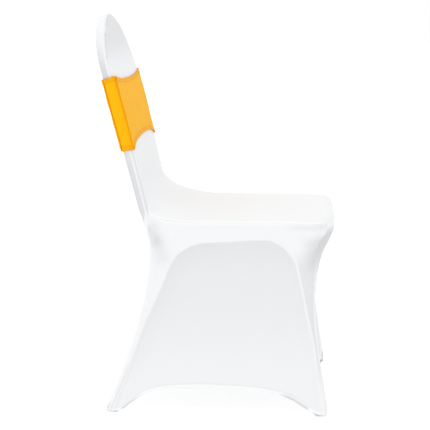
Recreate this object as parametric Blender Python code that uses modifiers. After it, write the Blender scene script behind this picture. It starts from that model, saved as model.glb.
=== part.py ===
"""Fitted stretch-knit cover for a stacking banquet chair, with a sash round the chair's back.

The cover is sewn from a front panel, a back panel and two side panels, with a pocket at each foot.
The chair inside is left out. +Z is up, the front is -Y, and the width runs along X.
The origin is on the inner face of the seat top, where the chair's seat holds the cover up.
"""

import math

import bmesh
import bpy
from mathutils import Vector

# Driving dimensions in metres. Heights are above the floor, and depths are y before the final shift.
CLOTH = 0.0015            # thickness of every sheet
SEAM_GAP = 0.0003         # each piece stops this far before its seam
BACK_HALF_WIDTH = 0.192
SEAT_HALF_WIDTH = 0.206
FEET_HALF_WIDTH = 0.222
SEAT_SEAM_HEIGHT = 0.456
SEAT_CROWN = 0.014        # rise of the seat top above its side seams
SEAT_FRONT = -0.526
SEAT_ROLL = 0.020         # radius of the seat's front edge
SEAT_CORNER_X = 0.110     # the seat's front corner in plan, an ellipse
SEAT_CORNER_Y = 0.055
LEG_RADIUS = 0.014        # round of the cloth over each leg
CORNER_LOW = 0.313        # the corner grows from the leg's round to the seat's between these
CORNER_HIGH = 0.423
HIP_HEIGHT = 0.474        # where front, side and back panels meet
HIP_DEPTH = -0.0979
CROWN_TOP = 0.9220
CROWN_RISE = 0.133        # height of the crown above the back's straight sides
CROWN_POWER = 1.7         # shape of the crown's curve: 2 would be an ellipse
BACK_LEAN = 0.28466       # slope of the back's rear face
BACK_EDGE_RADIUS = 0.008
CROWN_EDGE_RADIUS = 0.004
CORNER_HUG = 0.8          # how closely a turned corner keeps to its sharp shape
MOUNT_Y = -0.315
HEM_MIDDLE = 0.062        # height of the front and back hems at mid-width
HEM_FOOT = 0.007
HEM_ARCH = 2.2            # power of the curve from the middle of a hem to a foot
FOOT_LENGTH = 0.024
FOOT_WIDTH = 0.026
FOOT_OUTER_X = 0.2135     # inner face of a foot pocket, beside, in front and behind
FOOT_FRONT_Y = -0.5060
FOOT_REAR_Y = -0.0035
POCKET_SIDES = 20
POCKET_SQUARENESS = 0.75
FRAME_STEP = 0.006        # how far the side panel sinks inside the leg frame
FRAME_STEP_WIDTH = 0.040
TUBE_TURN = 0.30          # slope of the cloth in front of the front leg's tube
TUBE_TURN_TOP = 0.37
TUBE_TURN_FADE = 0.08
HIP_REACH = 0.080         # how far the seat's width narrows to the back's round the hip
REAR_SEAM_TURN = 0.403    # the rear seam leaves the leg's corner for the hip above this
HIP_DIMPLE_DEPTH = 0.005
HIP_DIMPLE_RADIUS = 0.020
HIP_DIMPLE = (-0.118, 0.418)
SASH_EASE = 0.0010        # space between the cover and the sash over it
SASH_FRONT_RADIUS = 0.006
SASH_SLANT_TOP = 0.0080   # how far the sash's edges fall from the front face to the rear face
SASH_SLANT_BOTTOM = 0.0045

# height, front face, rear face of the padded back
BACK_LINES = (
    (0.4430, -0.1042, -0.0830),
    (0.4740, -0.0979, -0.0765),
    (0.5030, -0.0919, -0.0690),
    (0.5430, -0.0837, -0.0588),
    (0.6200, -0.0664, -0.0385),
    (0.7030, -0.0462, -0.0162),
    (0.7830, -0.0251, 0.0045),
    (0.8530, -0.0053, 0.0236),
    (0.8900, 0.0035, 0.0310),
    (0.9240, 0.0130, 0.0365),
)
# height, how far the seam down the back's edge lies behind its front face
BACK_SETBACK = (
    (0.4740, 0.0000),
    (0.5200, 0.0018),
    (0.6000, 0.0042),
    (0.8000, 0.0062),
    (0.8600, 0.0055),
    (0.9240, 0.0030),
)
# height, rear outline of the cover below the hip
REAR_LINE = (
    (0.0000, 0.0030),
    (0.0150, 0.0005),
    (0.0310, -0.0065),
    (0.0600, -0.0185),
    (0.1370, -0.0475),
    (0.1850, -0.0640),
    (0.2130, -0.0722),
    (0.2890, -0.0915),
    (0.3560, -0.1003),
    (0.3870, -0.1010),
    (0.4070, -0.0995),
    (0.4260, -0.0950),
    (0.4490, -0.0860),
    (0.4740, -0.0765),
)
# height, front outline at mid-width, front outline at the legs
FRONT_LINE = (
    (0.0000, -0.4900, -0.5130),
    (0.0230, -0.4900, -0.5138),
    (0.0550, -0.4890, -0.5098),
    (0.1140, -0.4855, -0.4997),
    (0.1460, -0.4835, -0.4937),
    (0.2130, -0.4825, -0.4848),
    (0.2610, -0.4835, -0.4818),
    (0.3150, -0.4880, -0.4828),
    (0.3500, -0.4950, -0.4860),
    (0.3730, -0.5030, -0.4905),
    (0.3940, -0.5135, -0.4980),
    (0.4130, -0.5215, -0.5100),
    (0.4310, -0.5255, -0.5210),
    (0.4630, -0.5260, -0.5255),
)
# depth, height of the seat's side seam from the hip to the front corner
SEAT_SEAM = (
    (-0.0979, 0.4740),
    (-0.1180, 0.4650),
    (-0.1490, 0.4590),
    (-0.2000, 0.4560),
    (-0.3100, 0.4560),
    (-0.4180, 0.4560),
    (-0.4670, 0.4535),
    (-0.4950, 0.4525),
    (-0.5110, 0.4515),
)
# depth, height at mid-width where the back's front face bends into the seat top
SEAT_BEND = (
    (-0.0830, 0.5480),
    (-0.0885, 0.5325),
    (-0.0985, 0.5190),
    (-0.1190, 0.5042),
    (-0.1520, 0.4900),
    (-0.1920, 0.4786),
    (-0.2400, 0.4712),
    (-0.2900, 0.4700),
)
# depth, height of the side panel's hem between the feet
SIDE_HEM = (
    (-0.5040, 0.0070),
    (-0.4887, 0.0100),
    (-0.4732, 0.0170),
    (-0.4558, 0.0258),
    (-0.4306, 0.0415),
    (-0.4036, 0.0509),
    (-0.3728, 0.0570),
    (-0.3342, 0.0614),
    (-0.2336, 0.0651),
    (-0.1403, 0.0610),
    (-0.1013, 0.0520),
    (-0.0738, 0.0393),
    (-0.0540, 0.0252),
    (-0.0342, 0.0112),
    (-0.0200, 0.0068),
    (-0.0050, 0.0062),
)
# depth, height of the inner edge of the leg frame that the side panel lies on
LEG_FRAME = (
    (-0.0190, 0.0180),
    (-0.0920, 0.2220),
    (-0.1460, 0.3470),
    (-0.1620, 0.3780),
    (-0.1920, 0.3990),
    (-0.2870, 0.4120),
    (-0.3820, 0.4160),
    (-0.4120, 0.3980),
    (-0.4350, 0.3660),
    (-0.4610, 0.2470),
    (-0.4960, 0.0420),
)
# height, depth of the line where the cloth leaves the front leg's tube
FRONT_TUBE = (
    (0.0000, -0.5000),
    (0.0420, -0.4960),
    (0.1790, -0.4770),
    (0.2470, -0.4610),
    (0.3170, -0.4470),
    (0.3660, -0.4350),
)
# share of the foot pocket's size, height
POCKET_PROFILE = (
    (1.0000, 0.0125),
    (0.9700, 0.0085),
    (0.9000, 0.0048),
    (0.7600, 0.0022),
    (0.4000, 0.0015),
)
# place across the back (0 middle, 1 edge), lower and upper edge of the sash
SASH_EDGES = (
    (0.0000, 0.6392, 0.7728),
    (0.5000, 0.6362, 0.7748),
    (0.8000, 0.6305, 0.7795),
    (1.0000, 0.6195, 0.7850),
)

CROWN_ROWS = 9
BACK_ROWS = 10
SEAT_ROWS = 15
LEG_ROWS = 12
FACE_COLUMNS = 9
SEAT_SHARPNESS = 7        # power of the crown across the seat, flat with falling edges
CROWN_BEND = 1.5          # power of the crown's rows as they fall to its edge
SKIRT_BEND = 3            # power of the apron's depth from mid-width to the legs
ACROSS_POWER = 0.85       # how closely a panel's columns crowd at its edge
LEG_BLEND = 4             # the back panel's edge reaches the leg in a quarter of its rows
HALF_ROUND = 1 - math.sqrt(0.5)
CORNER_END = 0.98         # share of a corner that is turned before a seam cuts it off
BUNCHING_LATE = 1.4
BUNCHING_BOTH = 0.6
OUTLINE_STEPS = 60
BEND_STEPS = 24
ROLL_STEPS = 6
MERGE = 0.00005
WHITE = (0.86, 0.87, 0.88)
GOLDEN = (0.93, 0.48, 0.03)
STRIP_COLUMNS = 4
REAR_COLUMNS = 5
SASH_COLUMNS = 14
SASH_ROWS = 6


def read(table, at, column=1):
    """Smooth value of a table's column, by its first column, with a flat-limited cubic."""
    rows = sorted(table)
    at = min(max(at, rows[0][0]), rows[-1][0])
    place = 0
    while place < len(rows) - 2 and at > rows[place + 1][0]:
        place += 1
    slopes = [
        (after[column] - before[column]) / (after[0] - before[0])
        for before, after in zip(rows, rows[1:])
    ]

    def tangent(index):
        if index in (0, len(rows) - 1):
            return slopes[min(index, len(slopes) - 1)]
        left, right = slopes[index - 1], slopes[index]
        if left * right <= 0:
            return 0.0
        return 2 * left * right / (left + right)

    width = rows[place + 1][0] - rows[place][0]
    share = (at - rows[place][0]) / width
    low, high = rows[place][column], rows[place + 1][column]
    start, end = tangent(place) * width, tangent(place + 1) * width
    cube, square = share ** 3, share ** 2
    return (
        (2 * cube - 3 * square + 1) * low
        + (cube - 2 * square + share) * start
        + (3 * square - 2 * cube) * high
        + (cube - square) * end
    )


def smooth(value):
    value = min(max(value, 0.0), 1.0)
    return value * value * (3 - 2 * value)


def mix(first, second, share):
    return first + (second - first) * share


def even(count):
    return [step / count for step in range(count + 1)]


def bunched_late(count):
    """Shares from 0 to 1 that crowd together towards 1."""
    return [1 - (1 - share) ** BUNCHING_LATE for share in even(count)]


def bunched_both(count):
    """Shares from 0 to 1 that crowd together at both ends."""
    turn = 2 * math.pi
    return [share - BUNCHING_BOTH * math.sin(turn * share) / turn for share in even(count)]


def spaced(points, shares):
    """Points at the given shares of a polyline's length."""
    lengths = [0.0]
    for before, after in zip(points, points[1:]):
        lengths.append(lengths[-1] + (after - before).length)
    result = []
    place = 0
    for share in shares:
        target = lengths[-1] * share
        while place < len(points) - 2 and lengths[place + 1] < target:
            place += 1
        run = lengths[place + 1] - lengths[place]
        result.append(points[place].lerp(points[place + 1], (target - lengths[place]) / run))
    return result


def arc(centre, radius, start, end, steps):
    """Points (x, height) of an arc between two angles in degrees."""
    angles = [math.radians(mix(start, end, step / steps)) for step in range(steps + 1)]
    return [(centre[0] + radius * math.cos(a), centre[1] + radius * math.sin(a)) for a in angles]


def front_face(height):
    return read(BACK_LINES, height, 1) + CLOTH


def rear_face(height):
    if height > HIP_HEIGHT:
        return read(BACK_LINES, height, 2) - CLOTH
    return read(REAR_LINE, height) - CLOTH


def setback(height):
    return read(BACK_SETBACK, height)


def crown_outline():
    """The back's front edge (x, height), from the middle of the crown to its shoulder."""
    half = BACK_HALF_WIDTH - CLOTH
    rise = CROWN_RISE - CLOTH
    points = []
    for share in even(OUTLINE_STEPS):
        angle = math.pi / 2 * (1 - share)
        x = half * math.cos(angle) ** (2 / CROWN_POWER)
        up = rise * math.sin(angle) ** (2 / CROWN_POWER)
        points.append((x, CROWN_TOP - CROWN_RISE + up))
    return points


def crown_seam():
    """The seam round the front of the back, from the crown to the hip."""
    outline = crown_outline()
    points = [Vector((x, front_face(z) + setback(z), z)) for x, z in outline]
    crown = spaced(points, even(CROWN_ROWS))
    shoulder = outline[-1]
    side = []
    for share in bunched_late(BACK_ROWS)[1:]:
        height = mix(shoulder[1], HIP_HEIGHT, share)
        side.append(Vector((shoulder[0], front_face(height) + setback(height), height)))
    return crown + side


def corner_size(height):
    """The plan radii of the front corner, large at the seat and small at the leg."""
    share = smooth((height - CORNER_LOW) / (CORNER_HIGH - CORNER_LOW))
    return (
        mix(LEG_RADIUS, SEAT_CORNER_X, share),
        mix(LEG_RADIUS, SEAT_CORNER_Y, share),
    )


def side_width(height):
    share = height / SEAT_SEAM_HEIGHT
    return mix(FEET_HALF_WIDTH, SEAT_HALF_WIDTH, share) - CLOTH


def corner_drop(past, reach_y, reach_x):
    """How far an elliptic corner has turned in, at a distance past its start."""
    share = min(max(past / reach_y, 0.0), CORNER_END)
    return reach_x * (1 - math.sqrt(1 - share * share))


def tube_drop(depth, height):
    """How far the cloth has turned in, in front of the front leg's tube."""
    past = max(read(FRONT_TUBE, height) - depth, 0.0)
    fade = smooth((TUBE_TURN_TOP - height) / TUBE_TURN_FADE)
    return TUBE_TURN * past * fade * smooth(height / TUBE_TURN_FADE)


def inside_frame(depth, height):
    """Distance inside the leg frame's inner edge, negative outside."""
    point = Vector((depth, height))
    nearest = 1.0
    inside = False
    loop = [Vector(row) for row in LEG_FRAME]
    for before, after in zip(loop, loop[1:] + loop[:1]):
        run = after - before
        share = min(max((point - before).dot(run) / run.length_squared, 0.0), 1.0)
        if after is not loop[0]:
            nearest = min(nearest, (before + run * share - point).length)
        if (before.y > height) != (after.y > height):
            if depth < before.x + run.x * (height - before.y) / run.y:
                inside = not inside
    return nearest if inside or height < loop[0].y else -nearest


def side_x(depth, height):
    """Half-width of the side panel's inner face at a depth and height."""
    radius_x, radius_y = corner_size(height)
    front_start = read(FRONT_LINE, height, 2) + CLOTH + radius_y
    rear_start = rear_face(height) - LEG_RADIUS
    width = side_width(height)
    width -= corner_drop(front_start - depth, radius_y, radius_x)
    if height < CORNER_HIGH:
        width -= corner_drop(depth - rear_start, LEG_RADIUS, LEG_RADIUS)
    width -= tube_drop(depth, height)
    hip = math.hypot(depth - HIP_DEPTH, height - HIP_HEIGHT) / HIP_REACH
    narrowing = SEAT_HALF_WIDTH - BACK_HALF_WIDTH
    width -= narrowing * (1 - smooth(hip))
    dimple = math.hypot(depth - HIP_DIMPLE[0], height - HIP_DIMPLE[1]) / HIP_DIMPLE_RADIUS
    width -= HIP_DIMPLE_DEPTH * math.exp(-dimple * dimple)
    width -= FRAME_STEP * smooth(inside_frame(depth, height) / FRAME_STEP_WIDTH)
    return width


def seat_seam():
    """The seam along the seat's side, from the hip to the front corner."""
    hip = SEAT_SEAM[0][0] + CLOTH
    corner = front_seam_y(SEAT_SEAM_HEIGHT)
    points = []
    for share in even(OUTLINE_STEPS):
        depth = mix(hip, corner, share)
        height = read(SEAT_SEAM, depth) - CLOTH
        points.append(Vector((side_x(depth, height), depth, height)))
    points[0] = crown_seam()[-1]
    return spaced(points, bunched_both(SEAT_ROWS))


def front_seam_y(height):
    """Depth of the seam that runs down the front leg, half-way round the corner."""
    radius_y = corner_size(height)[1]
    return read(FRONT_LINE, height, 2) + CLOTH + radius_y * HALF_ROUND


def rear_seam_y(height):
    """Depth of the seam that runs down the rear leg."""
    leg = rear_face(height) - LEG_RADIUS * HALF_ROUND
    hip = front_face(HIP_HEIGHT)
    return mix(leg, hip, smooth((height - REAR_SEAM_TURN) / (HIP_HEIGHT - REAR_SEAM_TURN)))


def leg_seam(top, depth_at):
    """A seam down a leg to the hem, from its top point."""
    points = [top]
    for share in even(OUTLINE_STEPS)[1:]:
        height = mix(top.z, HEM_FOOT, share)
        depth = depth_at(height)
        points.append(Vector((side_x(depth, height), depth, height)))
    return spaced(points, even(LEG_ROWS))


def front_leg_seam():
    return leg_seam(seat_seam()[-1], front_seam_y)


def rear_leg_seam():
    return leg_seam(crown_seam()[-1], rear_seam_y)


def seat_profile():
    """The cover at mid-width: the bend from back to seat, and the roll over the seat's front."""
    first, last = SEAT_BEND[0][0], SEAT_BEND[-1][0]
    depths = [mix(first, last, share ** 2) for share in even(BEND_STEPS)]
    bend = [Vector((0, depth + CLOTH, read(SEAT_BEND, depth) - CLOTH)) for depth in depths]
    front = SEAT_FRONT + CLOTH
    top = bend[-1].z
    roll = arc((front + SEAT_ROLL, top - SEAT_ROLL), SEAT_ROLL, 90, 180, ROLL_STEPS)
    return bend, [Vector((0, y, z)) for y, z in roll]


def across(count):
    """Shares from the middle to the edge, closer together at the edge."""
    return [math.sin(math.pi / 2 * share) ** ACROSS_POWER for share in even(count)]


def front_panel_middle(apex, side_top):
    """The front panel's points at mid-width, a point for each of its rows."""
    bend, roll = seat_profile()
    heights = [mix(apex, side_top, share) for share in even(CROWN_ROWS)]
    middle = [Vector((0, front_face(z), z)) for z in heights]
    heights = [mix(side_top, bend[0].z, share) for share in even(BACK_ROWS)]
    straight = [Vector((0, front_face(z), z)) for z in heights]
    half = len(bend) // 2
    middle += spaced(straight + bend[1:half + 1], bunched_late(BACK_ROWS))[1:]
    middle += spaced(bend[half:] + roll, bunched_both(SEAT_ROWS))[1:]
    skirt = [roll[-1]]
    for share in even(OUTLINE_STEPS)[1:]:
        height = mix(roll[-1].z, HEM_MIDDLE, share)
        skirt.append(Vector((0, read(FRONT_LINE, height, 1) + CLOTH, height)))
    return middle + spaced(skirt, even(LEG_ROWS))[1:]


def crown_row(centre, edge):
    """A row across the crown, from mid-width to the seam behind the front face."""
    row = []
    for share in across(FACE_COLUMNS)[:-1]:
        height = mix(centre.z, edge.z, share ** CROWN_BEND)
        row.append(Vector((edge.x * share, front_face(height), height)))
    return row + [edge]


def seat_row(centre, edge, back):
    """A row across the back or the seat; back is how far its seam lies behind the face."""
    row = []
    for share in across(FACE_COLUMNS)[:-1]:
        bend = share ** SEAT_SHARPNESS
        depth = mix(centre.y, edge.y - back, bend)
        row.append(Vector((edge.x * share, depth, mix(centre.z, edge.z, bend))))
    return row + [edge]


def skirt_row(centre, edge, down):
    """A row of the apron between the front legs; down is 0 under the seat and 1 at the hem."""
    reach_x, reach_y = corner_size(edge.z)
    corner_start = edge.x - reach_x * (1 - HALF_ROUND)
    leg_y = edge.y - reach_y * HALF_ROUND
    row = []
    for share in across(FACE_COLUMNS):
        bend = mix(share ** SEAT_SHARPNESS, share ** HEM_ARCH, smooth(down))
        height = mix(centre.z, edge.z, bend)
        depth = mix(centre.y, leg_y, share ** SKIRT_BEND)
        depth += corner_drop(edge.x * share - corner_start, reach_x, reach_y)
        row.append(Vector((edge.x * share, depth, height)))
    return row


def front_panel_grid():
    """Rows of points from the crown to the front hem, each from mid-width to the edge seam."""
    edges = crown_seam() + seat_seam()[1:] + front_leg_seam()[1:]
    middle = front_panel_middle(edges[0].z, edges[CROWN_ROWS].z)
    hip_row = CROWN_ROWS + BACK_ROWS
    skirt_start = hip_row + SEAT_ROWS
    rows = []
    for index, (centre, edge) in enumerate(zip(middle, edges)):
        if index <= CROWN_ROWS:
            rows.append(crown_row(centre, edge))
        elif index < skirt_start:
            back = setback(edge.z) if index < hip_row else 0.0
            rows.append(seat_row(centre, edge, back))
        else:
            rows.append(skirt_row(centre, edge, (index - skirt_start) / LEG_ROWS))
    return rows


def cubic(start, corner, end, count):
    """Points of a curve that turns a corner between two points."""
    first, second = start.lerp(corner, CORNER_HUG), end.lerp(corner, CORNER_HUG)
    points = []
    for step in range(count + 1):
        t = step / count
        s = 1 - t
        points.append(start * s ** 3 + first * 3 * s * s * t + second * 3 * s * t * t + end * t ** 3)
    return points


def outline_normal(points, index):
    """The outward direction of the crown's outline, seen from the front."""
    before = points[max(index - 1, 0)]
    after = points[min(index + 1, len(points) - 1)]
    run = after - before if index else Vector((1, 0, 0))
    return Vector((-run.z, 0, run.x)).normalized()


def back_row(strip, centre_z, arch):
    """A row of the back panel: the strip round its edge, then its rear face to mid-width."""
    turned = strip[-1]
    row = list(strip)
    for share in even(REAR_COLUMNS)[1:]:
        height = mix(centre_z, turned.z, (1 - share) ** arch)
        row.append(Vector((turned.x * (1 - share), rear_face(height), height)))
    return row


def crown_and_back_rows():
    """The back panel's rows from the crown to the hip."""
    seam = crown_seam()
    apex, shoulder = seam[0].z, seam[CROWN_ROWS].z
    rows = []
    for index, edge in enumerate(seam):
        early = min(index / CROWN_ROWS, 1.0)
        radius = mix(CROWN_EDGE_RADIUS, BACK_EDGE_RADIUS, early)
        corner = Vector((edge.x, rear_face(edge.z), edge.z))
        turned = corner - outline_normal(seam, index) * radius
        turned.y = rear_face(turned.z)
        centre_z = edge.z
        if early < 1:
            centre_z = mix(apex, shoulder, early) - radius * (1 - early)
        rows.append(back_row(cubic(edge, corner, turned, STRIP_COLUMNS), centre_z, 1.0))
    return rows


def rear_leg_rows(hip_z):
    """The back panel's rows from the hip to the back hem."""
    rows = []
    for index, edge in enumerate(rear_leg_seam()[1:], 1):
        share = index / LEG_ROWS
        onto_leg = smooth(share * LEG_BLEND)
        width = mix(edge.x, side_width(edge.z), onto_leg)
        corner_x = width - 2 * HALF_ROUND * LEG_RADIUS * onto_leg
        corner = Vector((corner_x, rear_face(edge.z), edge.z))
        turned = Vector((width - LEG_RADIUS, rear_face(edge.z), edge.z))
        centre_z = mix(hip_z, HEM_MIDDLE, share)
        strip = cubic(edge, corner, turned, STRIP_COLUMNS)
        rows.append(back_row(strip, centre_z, mix(1.0, HEM_ARCH, share)))
    return rows


def back_panel_grid():
    """Rows of points from the crown to the back hem, each from the edge seam to mid-width."""
    upper = crown_and_back_rows()
    return upper + rear_leg_rows(upper[-1][-1].z)


def side_hem(rear_y, front_y):
    """The side panel's hem, from the rear foot to the front foot."""
    hem = []
    for share in even(OUTLINE_STEPS):
        depth = mix(rear_y, front_y, share)
        hem.append(Vector((0, depth, read(SIDE_HEM, depth))))
    return spaced(hem, bunched_both(SEAT_ROWS))


def side_panel_grid():
    """Rows of points from the seat seam to the hem, each from the rear seam to the front seam."""
    top = seat_seam()
    rear = rear_leg_seam()
    front = front_leg_seam()
    hem = side_hem(rear[-1].y, front[-1].y)
    rows = []
    for t, behind, ahead in zip(even(LEG_ROWS), rear, front):
        row = []
        for s, above, below in zip(even(SEAT_ROWS), top, hem):
            ruled = above.lerp(below, t) + behind.lerp(ahead, s)
            corners = top[0].lerp(top[-1], s).lerp(hem[0].lerp(hem[-1], s), t)
            point = ruled - corners
            point.x = side_x(point.y, point.z)
            row.append(point)
        row[0] = behind
        row[-1] = ahead
        rows.append(row)
    rows[0] = top
    return rows


def sash_plan():
    """Places round the sash: x share, share from front to rear, and how far round a corner."""
    steps = [-1 + 2 * step / SASH_COLUMNS for step in range(1, SASH_COLUMNS)]
    plan = [(x, 0.0, None) for x in steps]
    plan += [(1.0, 0.0, angle) for angle in (0, 45, 90)]
    plan += [(1.0, 0.5, None)]
    plan += [(1.0, 1.0, angle) for angle in (90, 60, 30, 0)]
    plan += [(x, 1.0, None) for x in steps[::-1]]
    plan += [(-1.0, 1.0, angle) for angle in (0, 30, 60, 90)]
    plan += [(-1.0, 0.5, None)]
    plan += [(-1.0, 0.0, angle) for angle in (90, 45, 0)]
    return plan


def sash_point(level, x_share, y_share, angle):
    """A point of the sash, level from 0 at its lower edge to 1 at its upper edge."""
    out = CLOTH + SASH_EASE
    half = BACK_HALF_WIDTH - CLOTH + out
    low, high = read(SASH_EDGES, abs(x_share), 1), read(SASH_EDGES, abs(x_share), 2)
    height = mix(low, high, level) - mix(SASH_SLANT_BOTTOM, SASH_SLANT_TOP, level) * y_share
    front, rear = front_face(height) - out, rear_face(height) + out
    point = Vector((half * x_share, mix(front, rear, y_share), height))
    if angle is not None:
        radius = BACK_EDGE_RADIUS if y_share else SASH_FRONT_RADIUS
        turn = math.radians(angle)
        point.x -= math.copysign(radius * (1 - math.sin(turn)), x_share)
        point.y += math.copysign(radius * (1 - math.cos(turn)), 0.5 - y_share)
    return point


def sash_grid():
    """Rings of points round the padded back, from the sash's lower edge to its upper edge."""
    return [[sash_point(level, *place) for place in sash_plan()] for level in even(SASH_ROWS)]


def pocket_grid(outer_y, inward):
    """Rings of a foot pocket from its rim to its sole, on the right foot; inward is its y direction."""
    middle = Vector((FOOT_OUTER_X - FOOT_WIDTH / 2, outer_y + inward * FOOT_LENGTH / 2, 0))
    rings = []
    for reach, height in POCKET_PROFILE:
        ring = []
        for step in range(POCKET_SIDES):
            angle = 2 * math.pi * step / POCKET_SIDES
            cos, sin = math.cos(angle), math.sin(angle)
            x = math.copysign(abs(cos) ** POCKET_SQUARENESS, cos) * FOOT_WIDTH / 2 * reach
            y = math.copysign(abs(sin) ** POCKET_SQUARENESS, sin) * FOOT_LENGTH / 2 * reach
            ring.append(middle + Vector((x, y, height)))
        rings.append(ring)
    return rings


def add_sheet(name, collection, colour, rows, closed=False, fill=False, mirror=False):
    """An object whose faces join a grid of points, thickened outwards into cloth."""
    origin = Vector((0, MOUNT_Y, mount_height()))
    mesh = bpy.data.meshes.new(name)
    build = bmesh.new()
    points = [[build.verts.new(point - origin) for point in row] for row in rows]
    for upper, lower in zip(points, points[1:]):
        count = len(upper) if closed else len(upper) - 1
        for index in range(count):
            after = (index + 1) % len(upper)
            build.faces.new((upper[index], lower[index], lower[after], upper[after]))
    if fill:
        build.faces.new(points[-1][::-1])
    bmesh.ops.remove_doubles(build, verts=build.verts, dist=MERGE)
    build.to_mesh(mesh)
    build.free()
    mesh.materials.append(knit(name + "_knit", colour))
    piece = bpy.data.objects.new(name, mesh)
    collection.objects.link(piece)
    mirror_and_thicken(piece, mirror)
    return piece


def mount_height():
    return SEAT_SEAM_HEIGHT + SEAT_CROWN - CLOTH


def mirrored(rows):
    return [[Vector((-point.x, point.y, point.z)) for point in row][::-1] for row in rows]


def pulled_in(rows, first, last):
    """The grid with its first and last columns moved back from their seams."""
    result = []
    for row in rows:
        row = list(row)
        if first:
            row[0] = row[0] + (row[1] - row[0]).normalized() * SEAM_GAP
        if last:
            row[-1] = row[-1] + (row[-2] - row[-1]).normalized() * SEAM_GAP
        result.append(row)
    return result


def mirror_and_thicken(piece, mirror):
    if mirror:
        both = piece.modifiers.new("both halves", "MIRROR")
        both.use_clip = True
        both.merge_threshold = 0.0001
    cloth = piece.modifiers.new("cloth", "SOLIDIFY")
    cloth.thickness = CLOTH
    cloth.offset = 1.0
    cloth.use_even_offset = False


def knit(name, colour):
    material = bpy.data.materials.new(name)
    material.use_nodes = True
    shader = material.node_tree.nodes["Principled BSDF"]
    shader.inputs["Base Color"].default_value = (*colour, 1.0)
    shader.inputs["Roughness"].default_value = 0.8
    shader.inputs["Metallic"].default_value = 0.0
    return material


def clear_scene():
    for old in list(bpy.data.objects):
        bpy.data.objects.remove(old, do_unlink=True)


def build_front_panel(collection):
    rows = pulled_in(front_panel_grid(), False, True)
    add_sheet("front_panel", collection, WHITE, rows, mirror=True)


def build_back_panel(collection):
    rows = pulled_in(back_panel_grid(), True, False)
    add_sheet("back_panel", collection, WHITE, rows, mirror=True)


def build_side_panels(collection):
    rows = pulled_in(side_panel_grid(), True, True)
    gap_down = Vector((0, 0, -SEAM_GAP))
    rows[0] = [point + gap_down for point in rows[0]]
    rows = rows[::-1]
    add_sheet("side_panel_left", collection, WHITE, rows)
    add_sheet("side_panel_right", collection, WHITE, mirrored(rows))


def build_sash_band(collection):
    add_sheet("sash_band", collection, GOLDEN, sash_grid()[::-1], closed=True)


def build_foot_pockets(collection):
    for end, outer_y, inward in (("front", FOOT_FRONT_Y, 1), ("rear", FOOT_REAR_Y, -1)):
        rings = pocket_grid(outer_y, inward)
        for side, rows in (("left", rings), ("right", mirrored(rings))):
            rows = [row[::-1] for row in rows]
            add_sheet(f"foot_pocket_{end}_{side}", collection, WHITE, rows, closed=True, fill=True)


def build():
    clear_scene()
    collection = bpy.data.collections.new("chair_cover_with_sash")
    bpy.context.scene.collection.children.link(collection)
    build_front_panel(collection)
    build_back_panel(collection)
    build_side_panels(collection)
    build_sash_band(collection)
    build_foot_pockets(collection)


build()
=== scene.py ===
import math

import bpy
import numpy as np
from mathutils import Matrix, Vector, noise


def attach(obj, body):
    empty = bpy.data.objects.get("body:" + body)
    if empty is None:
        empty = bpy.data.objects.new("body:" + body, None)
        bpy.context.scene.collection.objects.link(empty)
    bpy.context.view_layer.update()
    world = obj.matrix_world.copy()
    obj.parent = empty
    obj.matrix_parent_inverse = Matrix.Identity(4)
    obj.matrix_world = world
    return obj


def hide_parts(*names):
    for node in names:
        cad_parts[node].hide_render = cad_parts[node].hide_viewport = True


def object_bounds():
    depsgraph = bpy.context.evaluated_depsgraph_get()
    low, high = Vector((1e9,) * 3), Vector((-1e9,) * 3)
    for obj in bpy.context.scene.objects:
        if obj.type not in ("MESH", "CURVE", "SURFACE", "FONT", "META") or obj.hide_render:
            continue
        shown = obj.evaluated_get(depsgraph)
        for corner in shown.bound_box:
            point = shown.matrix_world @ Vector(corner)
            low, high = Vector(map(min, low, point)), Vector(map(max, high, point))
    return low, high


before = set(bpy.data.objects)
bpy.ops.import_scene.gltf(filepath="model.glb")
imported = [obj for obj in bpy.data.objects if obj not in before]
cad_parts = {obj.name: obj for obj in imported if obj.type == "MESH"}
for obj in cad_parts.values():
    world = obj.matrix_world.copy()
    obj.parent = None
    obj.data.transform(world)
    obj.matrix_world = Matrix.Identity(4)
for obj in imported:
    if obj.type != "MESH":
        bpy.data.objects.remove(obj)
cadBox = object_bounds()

# Stretch-knit cover for a stacking banquet chair, with a sash round the back.
# Depth is y, front is -y. Heights are above the floor, and every piece is moved to the frame at the end.

cover = {
    "cloth": 0.0014,
    "backHalf": 0.192,           # half-widths of the hidden chair
    "seatHalf": 0.206,
    "feetHalf": 0.222,
    "seamHeight": 0.456,
    "seatTop": 0.4685,           # inner face of the seat top, where the frame's origin lies
    "mountDepth": -0.315,
    "hipHeight": 0.474,
    "hipReach": 0.080,           # how far round the hip the cloth is drawn in
    "legRound": 0.014,
    "seatRoundX": 0.110,
    "seatRoundY": 0.055,
    "roundLow": 0.313,           # the corner grows from the leg's round to the seat's between these
    "roundHigh": 0.423,
    "backLean": 0.28466,
    "hemMiddle": 0.062,
    "hemFoot": 0.007,
    "hemArch": 2.2,
    "hemBand": 0.010,            # turned hem
    "tubeTurn": 0.30,            # slope of the cloth round the front leg's tube
    "hemStep": 0.002,            # over which the hem's double layer thins to one
    "stitchWidth": 0.0012,
    "waveSize": 0.09,            # slow unevenness of the stretched cloth
    "waveHeight": 0.0006,
    "strip": 0.030,              # width of the strip round the back and down the legs
    "seamTurn": 0.403,           # above this the rear seam leaves the leg for the hip
    "cornerShare": 0.8,          # how far a tight turn hugs its corner
}

# height, front face, rear face of the padded back
backLines = (
    (0.443, -0.1042, -0.0830),
    (0.474, -0.0979, -0.0765),
    (0.503, -0.0919, -0.0690),
    (0.543, -0.0837, -0.0588),
    (0.620, -0.0664, -0.0385),
    (0.703, -0.0462, -0.0162),
    (0.783, -0.0251, 0.0045),
    (0.853, -0.0053, 0.0236),
    (0.890, 0.0035, 0.0310),
    (0.924, 0.0130, 0.0365),
)
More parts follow.
